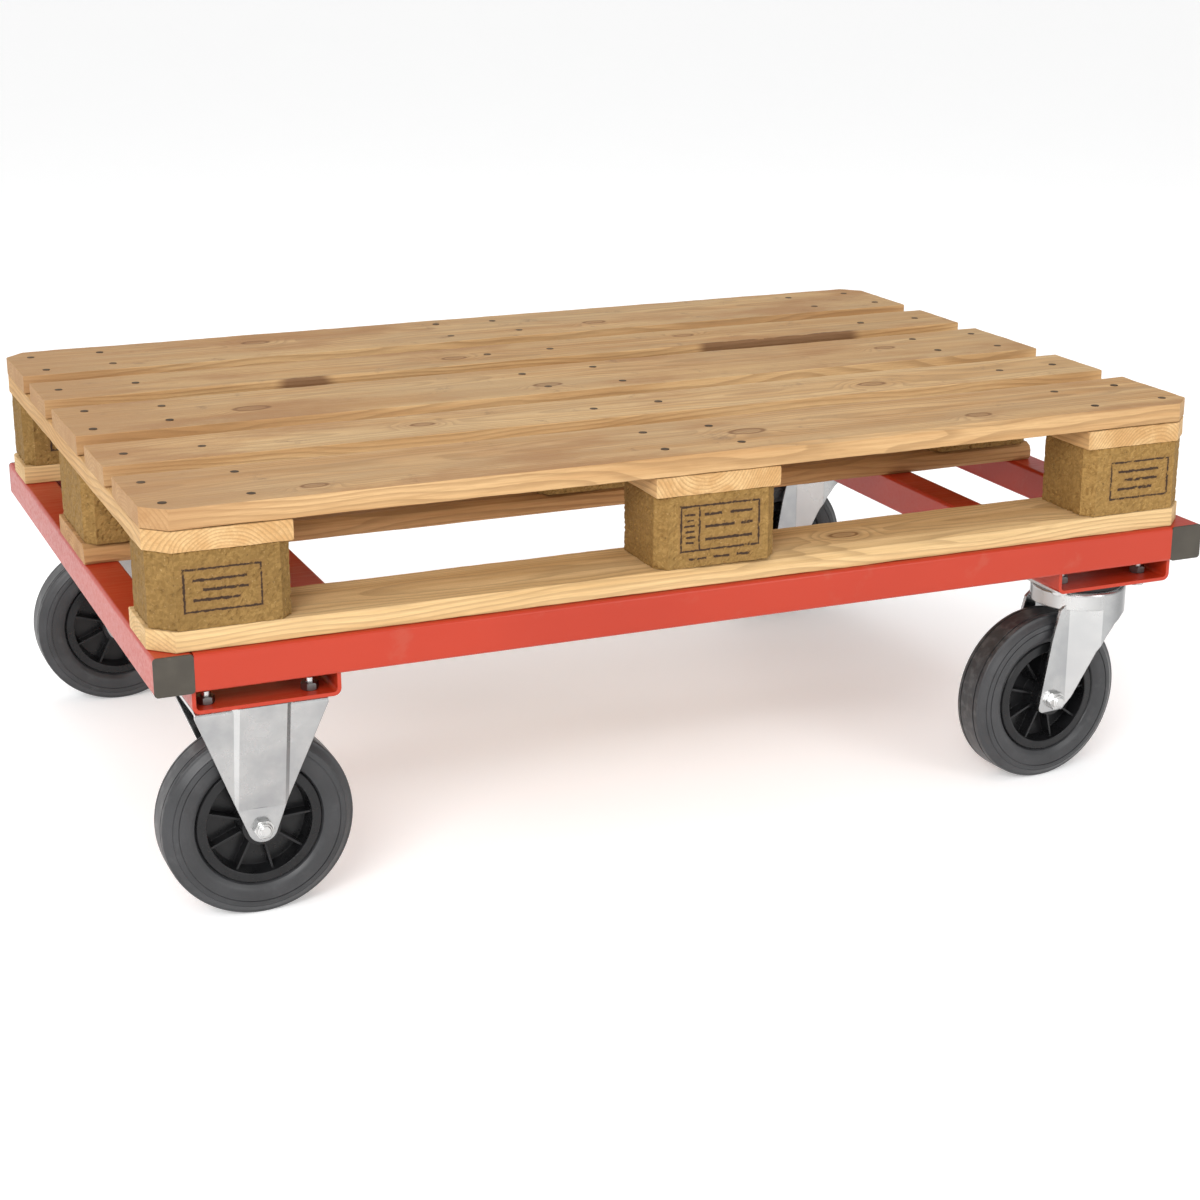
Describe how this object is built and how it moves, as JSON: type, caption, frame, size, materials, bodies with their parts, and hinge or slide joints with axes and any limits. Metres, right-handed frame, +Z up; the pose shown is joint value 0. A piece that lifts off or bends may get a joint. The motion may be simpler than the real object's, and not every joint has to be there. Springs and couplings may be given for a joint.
{
  "type": "pallet dolly",
  "caption": "Red tube-frame dolly on two fixed and two swivel castors, carrying a flat wooden pallet that lifts off.",
  "frame": {"origin": "on the floor, under the centre of the chassis", "axes": "+Z up, +X along the long side towards the swivel castors, -Y the front"},
  "size_m": [1.215, 0.825, 0.448],
  "materials": {
    "red_paint": "satin",
    "plug_plastic": "matte",
    "zinc_sheet": "bright zinc",
    "zinc_fastener": "zinc",
    "bright_steel": "polished",
    "seal_rubber": "matte",
    "rubber": "satin",
    "black_plastic": "satin",
    "cage_plastic": "matte",
    "deck_wood": "rough sawn, weathered",
    "frame_wood": "rough sawn",
    "chipboard": "pressed chips",
    "nail_steel": "dull"
  },
  "bodies": {
    "chassis": {"front_rail": "red_paint", "rear_rail": "red_paint", "left_end_tube": "red_paint", "right_end_tube": "red_paint", "left_cross_tube": "red_paint", "right_cross_tube": "red_paint", "end_plugs": "plug_plastic", "castor_channel_front_left": "red_paint", "castor_channel_rear_left": "red_paint", "castor_channel_front_right": "red_paint", "castor_channel_rear_right": "red_paint", "mounting_bolts": "zinc_fastener", "mounting_nuts": "zinc_fastener", "fixed_fork_front": "zinc_sheet", "fixed_fork_rear": "zinc_sheet", "fixed_axle_bolts": "zinc_fastener", "fixed_axle_nuts": "zinc_fastener", "fixed_axle_sleeves": "bright_steel", "swivel_plate_front": "zinc_sheet", "swivel_plate_rear": "zinc_sheet", "kingpins": "zinc_fastener", "kingpin_nuts": "zinc_fastener"},
    "swivel_front": {"swivel_fork_front": "zinc_sheet", "race_seal_front": "seal_rubber", "race_balls_front": "bright_steel", "swivel_axle_bolt_front": "zinc_fastener", "swivel_axle_nut_front": "zinc_fastener", "swivel_axle_sleeve_front": "bright_steel"},
    "swivel_rear": {"swivel_fork_rear": "zinc_sheet", "race_seal_rear": "seal_rubber", "race_balls_rear": "bright_steel", "swivel_axle_bolt_rear": "zinc_fastener", "swivel_axle_nut_rear": "zinc_fastener", "swivel_axle_sleeve_rear": "bright_steel"},
    "pallet": {"deck_board_1": "deck_wood", "deck_board_2": "deck_wood", "deck_board_3": "deck_wood", "deck_board_4": "deck_wood", "deck_board_5": "deck_wood", "stringer_boards": "frame_wood", "outer_blocks": "chipboard", "middle_blocks": "chipboard", "outer_bottom_boards": "frame_wood", "middle_bottom_board": "frame_wood", "pallet_nails": "nail_steel"},
    "wheel_front_left": {"tyre_front_left": "rubber", "hub_front_left": "black_plastic", "roller_cage_front_left": "cage_plastic"},
    "wheel_rear_left": {"tyre_rear_left": "rubber", "hub_rear_left": "black_plastic", "roller_cage_rear_left": "cage_plastic"},
    "wheel_front_right": {"tyre_front_right": "rubber", "hub_front_right": "black_plastic", "roller_cage_front_right": "cage_plastic"},
    "wheel_rear_right": {"tyre_rear_right": "rubber", "hub_rear_right": "black_plastic", "roller_cage_rear_right": "cage_plastic"}
  },
  "joints": [
    {"name": "swivel_front", "type": "hinge", "parent": "chassis", "child": "swivel_front", "pos_m": [0.4955, -0.3375, 0.2], "axis": [0, 0, 1], "continuous": true},
    {"name": "swivel_rear", "type": "hinge", "parent": "chassis", "child": "swivel_rear", "pos_m": [0.4955, 0.3375, 0.2], "axis": [0, 0, 1], "continuous": true},
    {"name": "wheel_front_left", "type": "hinge", "parent": "chassis", "child": "wheel_front_left", "pos_m": [-0.5, -0.3475, 0.1], "axis": [0, 1, 0], "continuous": true},
    {"name": "wheel_rear_left", "type": "hinge", "parent": "chassis", "child": "wheel_rear_left", "pos_m": [-0.5, 0.3475, 0.1], "axis": [0, 1, 0], "continuous": true},
    {"name": "wheel_front_right", "type": "hinge", "parent": "swivel_front", "child": "wheel_front_right", "pos_m": [0.4427, -0.34212, 0.1], "axis": [-0.0872, 0.9962, 0], "continuous": true},
    {"name": "wheel_rear_right", "type": "hinge", "parent": "swivel_rear", "child": "wheel_rear_right", "pos_m": [0.4427, 0.33288, 0.1], "axis": [-0.0872, 0.9962, 0], "continuous": true},
    {"name": "pallet_lift", "type": "slide", "parent": "chassis", "child": "pallet", "axis": [0, 0, 1], "range_m": [0, 0.2]}
  ]
}
